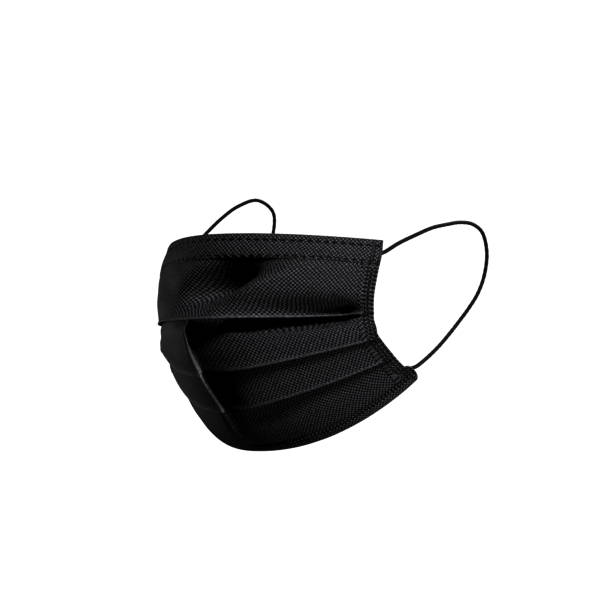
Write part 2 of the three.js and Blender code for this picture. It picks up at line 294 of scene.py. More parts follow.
# %% Dents, swells and ripples
LEFT_DENTS = [
    # across, level, half_across, half_levels, lean, depth
    (0.17, 1.95, 0.17, 0.62, -0.20, 21.0),
    (0.42, 1.95, 0.12, 0.60, -0.27, -5.0),
    (0.66, 2.84, 0.32, 0.43, -0.10, 15.0),
    (0.22, 6.45, 0.18, 0.40, 0.00, 2.5),
]
RIGHT_DENTS = [
    (0.30, 1.90, 0.20, 0.60, -0.15, 2.0),
    (0.60, 2.90, 0.25, 0.40, 0.00, 1.5),
    (0.90, 3.15, 0.35, 0.45, 0.00, -1.3),
]
BAND_HOLDS = 0.08                 # in levels: how soon the dents begin under the band
MARGIN_HOLDS = 0.2                # across: how far in the welded margin keeps them small
RIPPLES = [
    # cell_across, cell_down, height, seed
    (15, 7, 0.35, 11),
    (6, 4, 0.10, 12),
]
NOISE_CELLS = 64
NOISE_START = (32, 3)


def smooth_noise(across, down, seed):
    """Random heights from -1 to 1 at whole steps, eased from one to the next by
    part^2 * (3 - 2 part) along both directions."""
    heights = np.random.default_rng(seed).uniform(-1, 1, (NOISE_CELLS, NOISE_CELLS))
    column, row = np.floor(across).astype(int), np.floor(down).astype(int)
    ease_a, ease_d = (part * part * (3 - 2 * part) for part in (across - column, down - row))
    here, beside, below, corner = (
        heights[(row + r) % NOISE_CELLS, (column + c) % NOISE_CELLS]
        for r, c in ((0, 0), (0, 1), (1, 0), (1, 1)))
    upper = here + (beside - here) * ease_a
    lower = below + (corner - below) * ease_a
    return upper + (lower - upper) * ease_d


def relief(across, level, x):
    """How far the skin is pushed back at a place: each dent is its depth * exp(-(aside /
    half_across)^2 - (below / half_levels)^2), faded to nothing under the band and at the
    margins, and the ripples are smooth noise."""
    pushed = np.zeros(np.broadcast(across, level).shape)
    dents = [(1, *row) for row in LEFT_DENTS] + [(-1, *row) for row in RIGHT_DENTS]
    for side, at, at_level, half_across, half_levels, lean, depth in dents:
        below = level - at_level
        aside = side * across - at - lean * below
        pushed += depth * np.exp(-(aside / half_across) ** 2 - (below / half_levels) ** 2)
    pushed *= np.clip((level - LEVEL["band_seam"]) / BAND_HOLDS, 0, 1)
    free = np.clip((1 - np.abs(across)) / MARGIN_HOLDS, 0, 1)
    pushed *= free * free * (3 - 2 * free)
    for cell_across, cell_down, height, seed in RIPPLES:
        pushed += height * smooth_noise(x / cell_across + NOISE_START[0],
                                        level * LEVEL_MM / cell_down + NOISE_START[1], seed)
    return pushed


print("deepest dent:", max(row[-1] for row in LEFT_DENTS), "mm")

# %% [markdown]
# Now the skin can be asked for any point. Everything that is laid on it, such as a layer
# of a fold or the wall of a hem, is given as a place and a depth behind the skin. The
# direction of that depth is taken square to a wide patch, not to the point itself, so
# that the layers behind a sharp crease stay side by side.

# %% The skin
SMALL = 0.01                      # a step small enough to measure a slope with
PATCH_ACROSS = 0.14
PATCH_LEVEL = 0.3


def form(across, level):
    """Points of the smooth form. x is side_x * across. y goes from centre_y to side_y by
    (hypot(out, bend) - bend) / (hypot(1, bend) - bend), a hyperbola, and z from centre_z
    to side_z by out to the power of rise, where out is across without its sign."""
    across, level = np.broadcast_arrays(np.asarray(across, float), level)
    values = np.moveaxis(through(LEVEL_ROWS, level), -1, 0)
    centre_y, centre_z, side_x, side_y, side_z, bend, rise = values
    out = np.abs(across)
    back = (np.hypot(out, bend) - bend) / (np.hypot(1, bend) - bend)
    y = centre_y + (side_y - centre_y) * back
    z = centre_z + (side_z - centre_z) * out ** rise
    return np.stack([side_x * across, y, z], axis=-1)


def skin(across, level):
    """The form with its dents and swells, which push it back along y."""
    points = form(across, level)
    points[..., 1] += relief(across, level, points[..., 0])
    return points


def inward(across, level):
    """The direction into the mask, square to a wide patch of the skin: the cross product
    of the way along its level line and the way down its column."""
    top = np.maximum(level - PATCH_LEVEL, LEVEL["top_edge"])
    bottom = np.minimum(level + PATCH_LEVEL, LEVEL["bottom_edge"])
    along_line = skin(across + PATCH_ACROSS, level) - skin(across - PATCH_ACROSS, level)
    down_column = skin(across, bottom) - skin(across, top)
    square = np.cross(along_line, down_column)
    return square / np.linalg.norm(square, axis=-1, keepdims=True)


def place(across, level, depth):
    """The point at a depth behind the skin."""
    across, level, depth = np.broadcast_arrays(across, level, depth)
    return skin(across, level) + depth[..., None] * inward(across, level)


def across_at_inset(inset, level):
    """Where across lies when it is inset millimetres in from the left edge."""
    step = np.linalg.norm(skin(1.0, level) - skin(1 - SMALL, level), axis=-1)
    return 1 - inset * SMALL / step


def millimetres_on(points):
    """UV of a grid of points: the distance along each row, counted from its middle, and
    the distance down each column."""
    across = np.linalg.norm(np.diff(points, axis=1), axis=-1)
    across = np.concatenate([np.zeros((len(points), 1)), np.cumsum(across, axis=1)], axis=1)
    across -= across[:, points.shape[1] // 2][:, None]
    down = np.linalg.norm(np.diff(points, axis=0), axis=-1)
    down = np.concatenate([np.zeros((1, points.shape[1])), np.cumsum(down, axis=0)])
    return np.stack([across, down], axis=-1)


print("tip of the nose bulge:", np.round(skin(0.0, np.array(LEVEL["nose_bulge"])), 1), "mm")

# %% [markdown]
# ## The pleats
#
# Each pleat is a Z in the cloth. Going down, the cloth reaches the pleat's lip, turns
# back up behind itself, turns down again at the root and becomes the next panel. So there
# are three layers behind every lip. They lie tight at the side welds and at the middle
# crease, and gape in between, where the face pushes the cloth apart.
#
# One way to make this is to fold a flat sheet by simulation. The folds of a mask are
# pressed in at the factory, though, and stay where they are, so it is surer to draw the
# path that the cloth takes down each column: a list of stations, each with a level and a
# depth behind the skin. All the columns are worked out together.
#
# Down the middle of the lower panels the cloth keeps the crease of the folded packet. On
# the left it sinks into a hollow beside that crease, so the crease stands up as a sharp
# ridge, whose flank leans in under it. On the right it is pulled almost flat.

# %% Sizes of the pleats
WALL = 0.45                       # three plies of nonwoven cloth
FOLD_RADIUS = 0.3                 # of the middle of the cloth, at a pressed fold
PLEATS = [
    # lip, tuck, step at the crease and the welds, how much more it gapes, and where most
    (LEVEL["lip_1"], 8.5, 1.8, 7.0, 0.20),
    (LEVEL["lip_2"], 8.5, 2.0, 2.3, 0.35),
    (LEVEL["lip_3"], 7.5, 2.0, 3.0, 0.30),
]
LIP_BEAD = 0.7                    # how far a pressed lip stands out
LIP_BEAD_LEVELS = 0.07            # and how far up the panel that begins, in levels
RIGHT_STEP = 0.75                 # the right side lies flatter: its share of the step
RIGHT_GAPE = 0.15                 # and of the gape
SIDES_BLEND = 0.1                 # the part of the width where one side becomes the other
WELD_WIDTH = 8.2                  # the welded margin at each side
UNDER_WELD = 1.7                  # how far the cloth runs on under it
UNDER_BAND = 0.3                  # and under the band, in levels
ABOVE_BOTTOM = 0.12               # where it ends inside the bottom hem, in levels
CREASE = [
    # level, depth of the hollow beside the crease, how far the hollow reaches out
    (2.4, 0.0, 26), (3.0, 9.0, 26), (4.0, 7.5, 18), (5.0, 5.5, 13),
    (5.9, 4.0, 10), (6.15, 1.0, 7), (6.5, 0.1, 6), (8.0, 0.0, 6),
]
CREASE_WIDTH = 0.7                # of the flank of the ridge
CREASE_LEAN = 0.9                 # how far its flank runs in under it, per depth
LAYER_SHIFT = 1.2                 # how far a layer behind it moves aside, per depth
LAYER_REACH = 5                   # how far out from the crease that fades
CREASE_ROUND = 0.5                # radius on its top
RIGHT_HOLLOW = 0.15               # the right flank has hardly a hollow
PANEL_STEPS = (34, 26, 18, 24)    # stations down the front of each panel
TUCK_STEPS = 9                    # down each hidden layer
SWING_STEPS = 8                   # and round each fold
HALF_LEVEL = 0.5                  # the stretch over a lip that gives the scale there
print("tucked into the pleats:", sum(2 * row[1] for row in PLEATS), "mm of cloth")


# %% The path down each column
def crease(share, level):
    """How far the cloth lies back beside the middle crease: depth * (exp(-(out / reach)^2)
    - exp(-rounded / width)), so it is 0 on the crease and again far out. out is the
    distance from the crease and rounded is hypot(out, round) - round."""
    out = np.abs(share) * through(LEVEL_ROWS, level)[..., 2]
    depth, reach = (np.interp(level, *np.array(CREASE)[:, [0, column]].T) for column in (1, 2))
    rounded = np.hypot(out, CREASE_ROUND) - CREASE_ROUND
    side = np.where(share < 0, RIGHT_HOLLOW, 1)
    return side * depth * (np.exp(-(out / reach) ** 2) - np.exp(-rounded / CREASE_WIDTH))


def panel_depth(panel, level, share):
    """How far a panel hangs behind the skin. Below the lip above it, that is a drop which
    comes out evenly to the skin at its own lip, like a shingle: drop * (1 - way). The
    drop is step + gape * sin(pi * |share|^power), with the power that makes it widest
    where the table says. At its own lip it stands out by bead * exp(-above / reach)."""
    own_lip = PLEATS[panel][0] if panel < len(PLEATS) else LEVEL["bottom_edge"]
    bead = LIP_BEAD * np.exp(-np.abs(own_lip - level) / LIP_BEAD_LEVELS) * (panel < len(PLEATS))
    if panel == 0:
        return -bead + 0 * share
    lip, _, step, gape, widest = PLEATS[panel - 1]
    power = math.log(0.5) / math.log(widest)
    left = np.clip(share / SIDES_BLEND + 0.5, 0, 1)
    drop = (step * (RIGHT_STEP + (1 - RIGHT_STEP) * left)
            + gape * (RIGHT_GAPE + (1 - RIGHT_GAPE) * left)
            * np.sin(np.pi * np.minimum(np.abs(share), 1) ** power))
    way = np.clip((level - lip) / (own_lip - lip), 0, 1)
    return np.where(level < lip, panel_depth(panel - 1, level, share) + drop,
                    drop * (1 - way)) - bead


def pleated_path(share):
    """The stations down every column, whose share is -1 to 1 from weld to weld: their
    levels, their depths, the crease's part of those depths, and the panel that each row
    of stations belongs to. A fold is half a turn, radius * sin(swing) down and radius *
    (1 - cos(swing)) back."""
    levels, depths, creased, panels = [], [], [], []

    def lay(panel, level, depth):
        levels.append(level + 0 * share)
        creased.append(crease(share, levels[-1]) * (panel > 0))
        depths.append(depth + creased[-1])
        panels.extend([panel] * len(levels[-1]))

    swing = np.linspace(0, np.pi, SWING_STEPS)[1:-1, None]
    tucked = np.linspace(0, 1, TUCK_STEPS)[:, None]
    start = np.full(share.shape, LEVEL["band_seam"] - UNDER_BAND)
    for panel, steps in enumerate(PANEL_STEPS):
        if panel < len(PLEATS):
            lip, tuck, *_ = PLEATS[panel]
            across = share * across_at_inset(WELD_WIDTH, lip)
            above_lip = skin(across, lip) - skin(across, lip - HALF_LEVEL)
            per_level = np.linalg.norm(above_lip, axis=-1) / HALF_LEVEL
            fold = FOLD_RADIUS / per_level
            end, root = lip - fold, lip - tuck / per_level + fold
        else:
            end = np.full(share.shape, LEVEL["bottom_edge"] - ABOVE_BOTTOM)
        level = start + (end - start) * np.linspace(0, 1, steps)[:, None]
        lay(panel, level, panel_depth(panel, level, share) + WALL / 2)
        if panel == len(PLEATS):
            break
        front = panel_depth(panel, end, share) + WALL / 2
        lay(panel, end + fold * np.sin(swing), front + FOLD_RADIUS * (1 - np.cos(swing)))
        back = panel_depth(panel + 1, root, share) + WALL / 2
        lay(panel, end + (root - end) * tucked,
            (front + 2 * FOLD_RADIUS) * (1 - tucked) + (back - 2 * FOLD_RADIUS) * tucked)
        lay(panel + 1, root - fold * np.sin(swing), back - FOLD_RADIUS * (1 + np.cos(swing)))
        level = root + (lip - root) * tucked[:-1]
        lay(panel + 1, level, panel_depth(panel + 1, level, share) + WALL / 2)
        start = np.full(share.shape, lip)
    return np.vstack(levels), np.vstack(depths), np.vstack(creased), np.array(panels)


print("stations down a column:", len(pleated_path(np.zeros(1))[0]))

# %% [markdown]
# ## The pleated cloth
#
# The path is now laid over the whole width at once. The columns stand closer together at
# the middle crease, where the cloth turns sharply, and there it is also shifted sideways:
# the left flank by lean * hollow, in under the ridge, and every layer by shift * its own
# depth * exp(-(distance from the crease / reach)^2). Without that last shift the tucked
# layers would poke out through the leaning flank. Solidify then gives the sheet its wall.
#
# The embossed pattern needs a UV map in real millimetres. It was pressed into flat cloth,
# so its rows are straight along every panel. Measured over the dents they would run in
# waves. So the distances are measured over the smooth form, and each panel's share of the
# map hangs from its own lip. The press that folds a pleat, or the whole packet, also irons
# the pattern away. The attribute "smoothed" is 1 there, at each lip and down the
# crease of the two middle panels, and the material draws no dark pits there. So these lines
# come out lighter than the cloth round them: partly the ironed cloth, and partly a painted
# highlight along the lips and the crease.

# %% Helpers for sheets
CLOTH_COLUMNS = 241
CREASE_SPACING = 0.35             # columns at the middle, as a share of the mean spacing
LIP_IRONED_HIGHLIGHT = 0.5                  # how far from a lip the cloth is ironed and drawn lighter, partly as a painted highlight
CREASE_IRONED_HIGHLIGHT = 1.4               # and how far from the crease


def softly_inside(distance, half_size, edge):
    """1 where a distance is under half_size and 0 past it. It is eased across an edge of
    that width by part^2 * (3 - 2 part)."""
    part = np.clip((half_size - np.abs(distance)) / edge + 0.5, 0, 1)
    return part * part * (3 - 2 * part)


def closer_at_crease(count):
    """Columns from -1 to 1, each at even * (spacing + (1 - spacing) * even^2), so that
    they stand closer together at the middle crease."""
    even = np.linspace(-1, 1, count)
    return even * (CREASE_SPACING + (1 - CREASE_SPACING) * even ** 2)


def thicken(piece, wall):
    """Gives a sheet its thickness, half on each side, with a closed rim."""
    solidify = piece.modifiers.new("wall", "SOLIDIFY")
    solidify.thickness = wall * MM
    solidify.offset = 0
    solidify.use_rim = True


middle_column = CLOTH_COLUMNS // 2
print("first step out from the crease:",
      np.round(closer_at_crease(CLOTH_COLUMNS)[middle_column + 1], 4))

# %% Points of the pleated cloth
share = closer_at_crease(CLOTH_COLUMNS)
level, depth, creased, panel_of_row = pleated_path(share)
across = share * across_at_inset(WELD_WIDTH - UNDER_WELD, level)
cloth_points = place(across, level, depth)
from_crease = np.abs(form(across, level)[..., 0])
behind = np.maximum(depth - creased - WALL / 2, 0)
cloth_points[..., 0] -= (CREASE_LEAN * np.where(share > 0, creased, 0)
                         + LAYER_SHIFT * behind * np.exp(-(from_crease / LAYER_REACH) ** 2))
cut = millimetres_on(cloth_points)

# %% Its UV map, and its ironed folds drawn lighter as a painted highlight
flat = form(across, level)
cloth_uv = millimetres_on(flat)
flat[..., 1] += creased
cloth_uv[..., 0] = millimetres_on(flat)[..., 0]
# Along each lip and down the crease the pits are left out, which draws a lighter line: partly
# ironed cloth, partly a painted highlight where the lips and the crease catch light.
smoothed = np.zeros(level.shape)
for panel in range(len(PANEL_STEPS)):
    rows = panel_of_row == panel
    lip_row = cloth_uv[np.argmax(np.where(rows[:, None], level, 0), axis=0)[0], :, 1]
    if panel < len(PLEATS):
        smoothed[rows] = softly_inside(cloth_uv[rows, :, 1] - lip_row, LIP_IRONED_HIGHLIGHT, LIP_IRONED_HIGHLIGHT)
    cloth_uv[rows, :, 1] += lip_row.mean() - lip_row
on_crease = softly_inside(flat[..., 0], CREASE_IRONED_HIGHLIGHT, CREASE_IRONED_HIGHLIGHT / 2)
creased_panel = (panel_of_row > 0) & (panel_of_row < len(PLEATS))
smoothed = np.maximum(smoothed, on_crease * creased_panel[:, None])
cloth = grid_object("pleated_cloth_folded", cloth_points, cloth_uv, smoothed=smoothed)
thicken(cloth, WALL)

# %% [markdown]
# ## Spot welds
#
# Nothing in the mask is sewn. The layers are joined by ultrasonic welds: a small toothed
# tool presses them together and melts them at that spot to a hard film, which is thinner
# than the cloth and darker. The band has two lines of dashes, the bottom hem one of short
# dots, and each side margin three columns of round dots.
#
# A spot can be found for any grid of points from the distance to the nearest of a row of
# evenly spaced marks. It is used twice: as a real dimple in the mesh, and as the
# attribute "pressed" for the material.
#
# The rear edge of a margin is straight except for a rounded tab at its lower corner. The
# band and the hem end on that edge too, so it gets its own function.

# %% Marks, dashes and dots
TAB_REACH = 2.8                   # the lower corner stands out in a rounded tab
TAB_LEVELS = (7.5, 0.5)           # its middle, and half its height
DOT_PITCH = 1.9
DOT_SIZE = 1.0
DOT_PRESS = 0.22
DOT_COLUMNS = (1.3, 3.2, 5.1)     # distances in from the rear edge
DASH_PRESS = 0.38


def from_nearest(along, pitch):
    """The distance along a row from the nearest of its evenly spaced marks."""
    return ((along / pitch + 0.5) % 1 - 0.5) * pitch


def dashes(along, beside, pitch, length, width):
    """1 on the dashes of a row and 0 off them."""
    return (softly_inside(from_nearest(along, pitch), length / 2, width / 2)
            * softly_inside(beside, width / 2, width / 2))


def margin_dots(inset, along):
    """1 on the spot welds of the side margin. along is the distance down the edge, and
    every other column of dots is shifted by half a pitch."""
    pressed = np.zeros(np.broadcast(inset, along).shape)
    for row, column in enumerate(DOT_COLUMNS):
        far = np.hypot(inset - column, from_nearest(along + row * DOT_PITCH / 2, DOT_PITCH))
        pressed = np.maximum(pressed, softly_inside(far, DOT_SIZE / 2, DOT_SIZE / 2))
    return pressed


def tab_reach(level):
    """How far the rear edge stands out past the side: half an ellipse."""
    middle, half = TAB_LEVELS
    return TAB_REACH * np.sqrt(np.clip(1 - ((level - middle) / half) ** 2, 0, 1))


def across_edge(level):
    """The rear edge of the mask, with its tab."""
    return across_at_inset(-tab_reach(level), level)


print("the tab stands out", round(float(tab_reach(TAB_LEVELS[0])), 1), "mm")

# %% [markdown]
# ## A hem folded round an edge
#
# The band at the top and the hem at the bottom are made the same way: a strip of cloth
# goes down the front, round the edge in a half turn and back up behind, and the pleated
# cloth ends between its two faces. One function lays such a U over the skin. What differs
# is given to it as three small functions: the depth of the front, the depth of the back,
# and where the welds press. A second function makes the two for the depths, so that the
# faces swell a little between the weld lines.

# %% Folded hem
HEM_WALL = 0.32                   # two plies
LAYER_GAP = 0.1                   # between the pleated cloth and the back of a hem
HEM_COLUMNS = 420
EDGE_PROBE = 0.3                  # levels over which the skin's scale at the edge is taken


def folded_hem(name, edge, height, rows, front, back, welds):
    """A U of cloth round the top edge or the bottom edge. Its rows go over one face to the
    edge, round a half turn of (1 - cos(swing), sin(swing)) * radius, and over the other
    face, in the order that makes all of them look outward. front and back give a face's
    depth at a distance in from the edge, and welds how far it is pressed there."""
    toward = 1 if edge == LEVEL["top_edge"] else -1
    share = np.linspace(-1, 1, HEM_COLUMNS)
    probe = skin(share, edge + EDGE_PROBE * toward) - skin(share, edge)
    per_level = np.linalg.norm(probe, axis=-1) / EDGE_PROBE
    radius = (back(0.0) - front(0.0)) / 2
    over = np.linspace(height, radius, rows)[:, None]
    swing = np.linspace(-np.pi / 2, np.pi / 2, SWING_STEPS)[1:-1, None]
    turn = radius * (1 - np.cos(swing))
    inset_rows = np.vstack([over, turn, over[::-1]])
    level = edge + toward * inset_rows / per_level
    across = share * across_edge(level)
    along = millimetres_on(place(across, level, 0.0))[..., 0]
    pressed = welds(inset_rows, along, np.abs(along[:1, -1:]) - np.abs(along))
    faces = [front(over) + pressed[:rows], back(over) - pressed[:rows]]
    if toward > 0:
        faces.reverse()
    middle = (front(0.0) + back(0.0)) / 2
    rounded = middle - toward * radius * np.sin(swing) + 0 * share
    depth = np.vstack([faces[0], rounded, faces[1][::-1]])
    points = place(across, level, depth)
    piece = grid_object(name, points, millimetres_on(form(across, level)), pressed=pressed)
    thicken(piece, HEM_WALL)
    return piece


def half_sine(distance, start, end):
    """A swell of 1 between start and end and 0 outside them: sin(pi * way)."""
    return np.sin(np.pi * np.clip((distance - start) / (end - start), 0, 1))


def swollen_faces(swell, start, end):
    """Two functions for a hem, with the depth of its front and that of its back at a
    distance in from the edge. Both stand off by swell * half_sine, the front outward and
    the back inward from the far side of the pleated cloth."""
    def front(inset):
        return -HEM_WALL / 2 - swell * half_sine(inset, start, end)

    def back(inset):
        return WALL + LAYER_GAP + HEM_WALL / 2 + swell * half_sine(inset, start, end)

    return front, back


print("swell at the start, in the middle and past the end:",
      half_sine(np.array([0, 1, 3]), 0, 2))

# %% [markdown]
# ## The nose band
#
# Along the top the cloth is folded over to a band 11 mm deep, and closed by two lines of
# weld dashes. The doubled cloth is stiffer than one layer, so the band holds its line
# better than the cloth below it, and it swells a little between its two lines.

# %% Nose band
BAND_HEIGHT = 11.9
BAND_ROWS = 34                    # of the mesh, over each face
BAND_SEAMS = (3.3, 11.0)          # distances of its weld lines from the top edge
BAND_SWELL = 0.35
DASH = {"pitch": 4.0, "length": 2.1, "width": 0.85}
DASH_SHIFT = 1.3                  # of the second line against the first one


def band_welds(inset, along, from_side):
    """Two lines of dashes, and the dots of the side margins."""
    lines = [dashes(along + DASH_SHIFT * row, inset - seam, **DASH)
             for row, seam in enumerate(BAND_SEAMS)]
    return np.maximum(DASH_PRESS * np.maximum(*lines),
                      DOT_PRESS * margin_dots(from_side, inset))


band = folded_hem("nose_band_hem", LEVEL["top_edge"], BAND_HEIGHT, BAND_ROWS,
                  *swollen_faces(BAND_SWELL, *BAND_SEAMS), band_welds)

# %% [markdown]
# ## The bottom hem
#
# The lower edge is turned over in the same way, but it is narrower, and closed by one line
# of short welds near its upper rim.

# %% Bottom hem
HEM_HEIGHT = 5.6
HEM_ROWS = 18
HEM_SEAM = 4.6                    # distance of its weld line from the bottom edge
HEM_SWELL = 0.2
HEM_DOTS = {"pitch": 1.9, "length": 0.9, "width": 0.8}


def hem_welds(inset, along, from_side):
    """One line of short dots, and the dots of the side margins."""
    return np.maximum(DASH_PRESS * dashes(along, inset - HEM_SEAM, **HEM_DOTS),
                      DOT_PRESS * margin_dots(from_side, inset))


hem = folded_hem("bottom_hem_fold", LEVEL["bottom_edge"], HEM_HEIGHT, HEM_ROWS,
                 *swollen_faces(HEM_SWELL, 0, HEM_SEAM), hem_welds)

# %% [markdown]
# ## The welded side margins
#
# At each side the folded layers are pressed together and spot-welded from the band down
# to the hem, so that the pleats can't open there. The steps of the three lips run on
# across this margin, but flatter, because the press has squeezed them. At the top, just
# under the band, a short bar is left standing between two teeth of the tool.
#
# The margin is a closed strip, not a bent sheet, because it is thick where it meets the
# pleats and thin at its rear edge. Its front is a height over the skin: the steps of the
# panels, less the dots that the welding tool left.

# %% Side margins
MARGIN_PROUD = 0.06               # how far its front stands out from the cloth
MARGIN_STACK = 2.7                # its thickness where it meets the pleats
MARGIN_EDGE = 1.5                 # and at the rear edge
MARGIN_LEVELS = (0.9, 7.66)       # from under the band to under the hem
MARGIN_ROWS = 290
MARGIN_COLUMNS = 27
LIP_SOFT = 0.05                   # in levels: how sharply a lip steps down
SQUEEZE = 0.4                     # how much of a step is lost at the rear edge
BACK_DOTS = 0.6                   # how strongly the dots show at the back
BAR = {"level": 1.14, "width": 1.2, "from": 0.9, "to": 7.9, "height": 0.35}
BAR_EDGE = 0.5


def margin_steps(level):
    """The depth of the panels, one taking over from another at each lip."""
    depth = np.zeros(level.shape)
    for panel, (lip, *_) in enumerate(PLEATS):
        below = np.clip((level - lip) / LIP_SOFT, 0, 1)
        depth += (panel_depth(panel + 1, level, np.ones(level.shape)) - depth) * below
    return depth


def side_margin(name, side):
    """The closed strip on one side, 1 for left and -1 for right. Its columns go over the
    front and return over the back. The front is steps - proud + dots - bar, and the back
    goes evenly from one thickness to the other."""
    level = np.linspace(*MARGIN_LEVELS, MARGIN_ROWS)[:, None]
    edge = -tab_reach(level)
    part = np.linspace(0, 1, MARGIN_COLUMNS)[None, :]
    inset = WELD_WIDTH + (edge - WELD_WIDTH) * part
    across = across_at_inset(inset, level)
    step = np.linalg.norm(np.diff(skin(across, level), axis=0), axis=-1)
    along = np.vstack([np.zeros((1, MARGIN_COLUMNS)), np.cumsum(step, axis=0)])
    dots = margin_dots(inset - edge, along)
    bar_middle, bar_half = (BAR["from"] + BAR["to"]) / 2, (BAR["to"] - BAR["from"]) / 2
    bar = (softly_inside(inset - bar_middle, bar_half, BAR_EDGE)
           * softly_inside((level - BAR["level"]) * LEVEL_MM, BAR["width"] / 2, BAR_EDGE))
    steps = margin_steps(level) * (1 - SQUEEZE * part)
    front = steps - MARGIN_PROUD + DOT_PRESS * dots * (1 - bar) - BAR["height"] * bar
    back = MARGIN_STACK + (MARGIN_EDGE - MARGIN_STACK) * part + 0 * level
    faces = [place(side * across, level, front), place(side * across, level, back)]
    pressed = [dots * (1 - bar), BACK_DOTS * dots]
    if side > 0:
        points = np.hstack([faces[0], faces[1][:, ::-1]])
        marks = np.hstack([pressed[0], pressed[1][:, ::-1]])
    else:
        points = np.hstack([faces[0][:, ::-1], faces[1]])
        marks = np.hstack([pressed[0][:, ::-1], pressed[1]])
    return grid_object(name, points, millimetres_on(points), tube=True, capped=True,
                       pressed=marks)


margins = [side_margin("side_margin_left", 1), side_margin("side_margin_right", -1)]

# %% [markdown]
# ## Standing in for the solids
#
# Every new piece takes the place of one solid of the frame and moves with the body of
# the mask.

# %% Ride and replace
pieces = {
    "pleated_cloth": (cloth, "cloth"),
    "nose_band": (band, "cloth"),
    "bottom_hem": (hem, "cloth"),
    "side_strip_left": (margins[0], "weld_strip"),
    "side_strip_right": (margins[1], "weld_strip"),
}
for node, (piece, slot) in pieces.items():
    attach(piece, "root")
    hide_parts(node)
print("pieces of cloth:", len(pieces))

# %% [markdown]
# ## Building materials
#
# A material is a small graph of nodes. Three helpers keep it readable: one turns the hex
# colours of paint charts into the linear values that shaders use, one adds any node with
# its inputs and settings, and one starts a material with an empty graph.

# %% Material helpers
def linear(hex_colour):
    """An sRGB colour like #1a1a1c as linear RGBA: c / 12.92 up to 0.04045, and
    ((c + 0.055) / 1.055)^2.4 above it."""
    values = np.array([int(hex_colour[i:i + 2], 16) for i in (1, 3, 5)]) / 255
    light = np.where(values <= 0.04045, values / 12.92, ((values + 0.055) / 1.055) ** 2.4)
    return (*light.tolist(), 1.0)


def add_node(tree, kind, inputs=None, **settings):
    """Adds a node. settings are its properties, and inputs maps a socket's name or number
    to a value or to another node's output."""
    node = tree.nodes.new(kind)
    for name, value in settings.items():
        setattr(node, name, value)
    for socket, value in (inputs or {}).items():
        if isinstance(value, bpy.types.NodeSocket):
            tree.links.new(value, node.inputs[socket])
        else:
            node.inputs[socket].default_value = value
    return node


def new_material(name):
    """A material with an empty graph, and that graph."""
    material = bpy.data.materials.new(name)
    material.use_nodes = True
    material.node_tree.nodes.clear()
    return material, material.node_tree


print("mid grey in linear light:", round(linear("#808080")[0], 3))

# %% [markdown]
# ## The nonwoven cloth
#
# The outer ply is spunbond polypropylene: endless plastic fibres laid down in a web and
# bonded by a heated roller with raised points. Where a point has pressed, the fibres are
# melted into a small smooth pit that looks darker than the fluffy web round it. To the
# eye that is a fine diamond lattice of dark pits on a dull charcoal black, and it is the
# sign by which one knows this cloth.
#
# The lattice is the sum of two cosine waves that cross at 45 degrees, cut off softly at a
# height, and it goes over the UV map in millimetres. On real cloth the points are 1 to
# 1.4 mm apart. They are drawn near the coarse end of that, to stay clear from a distance.
# Slow noise makes the web cloudy, as the fibres lie thicker in some places. Ironed folds
# lose the pits, so the lips and the crease are drawn without them, in a line lighter than
# the cloth round it: partly the ironed cloth and partly a painted highlight. At the
# ultrasonic welds the cloth is dark film. On the nodes that mix two colours, socket 0 is
# the share of the second one, the colours are sockets 6 and 7, and the result is output 2.

# %% The lattice of bonded points
EMBOSS_PITCH = 1.35
BOND_EDGE = (-0.5, 0.4)           # between these heights of the summed waves a point fades in
cloth_material, tree = new_material("spunbond_polypropylene_embossed")
uv_map = add_node(tree, "ShaderNodeUVMap", uv_map="cloth_mm")
turned = add_node(tree, "ShaderNodeMapping",
                  {"Vector": uv_map.outputs[0], "Rotation": (0, 0, math.radians(45)),
                   "Scale": (2 * math.pi / EMBOSS_PITCH,) * 3})
axes = add_node(tree, "ShaderNodeSeparateXYZ", {0: turned.outputs[0]})
wave_a = add_node(tree, "ShaderNodeMath", {0: axes.outputs[0]}, operation="COSINE")
wave_b = add_node(tree, "ShaderNodeMath", {0: axes.outputs[1]}, operation="COSINE")
lattice = add_node(tree, "ShaderNodeMath", {0: wave_a.outputs[0], 1: wave_b.outputs[0]},
                   operation="ADD")
bond = add_node(tree, "ShaderNodeMapRange",
                {"Value": lattice.outputs[0], "From Min": BOND_EDGE[0],
                 "From Max": BOND_EDGE[1]},
                interpolation_type="SMOOTHSTEP")
# Along the lips and the crease the pits are left out: partly ironed cloth, partly a painted
# highlight.
smoothed_out = add_node(tree, "ShaderNodeAttribute", attribute_name="smoothed")
dots = add_node(tree, "ShaderNodeMath",
                {0: bond.outputs[0], 1: smoothed_out.outputs["Fac"]},
                operation="SUBTRACT", use_clamp=True)
print("bonded points every", EMBOSS_PITCH, "mm")

# %% The colour of the cloth
CLOUDS_PER_MM = 0.9               # of thicker and thinner web
CLOUD_RANGE = (0.3, 0.7)          # the noise seldom leaves it
FILM_RANGE = (0.03, 0.2)          # pressed this far the cloth begins to melt, and is film
fibres = add_node(tree, "ShaderNodeTexNoise",
                  {"Vector": uv_map.outputs[0], "Scale": CLOUDS_PER_MM, "Detail": 3.0,
                   "Roughness": 0.7})
cloudy = add_node(tree, "ShaderNodeMapRange",
                  {"Value": fibres.outputs[0], "From Min": CLOUD_RANGE[0],
                   "From Max": CLOUD_RANGE[1]})
fibre_colour = add_node(tree, "ShaderNodeMix",
                        {0: cloudy.outputs[0], 6: linear("#242426"), 7: linear("#58585c")},
                        data_type="RGBA")
colour = add_node(tree, "ShaderNodeMix",
                  {0: dots.outputs[0], 6: fibre_colour.outputs[2], 7: linear("#010101")},
                  data_type="RGBA")
weld = add_node(tree, "ShaderNodeAttribute", attribute_name="pressed")
film = add_node(tree, "ShaderNodeMapRange",
                {"Value": weld.outputs["Fac"], "From Min": FILM_RANGE[0],
                 "From Max": FILM_RANGE[1]})
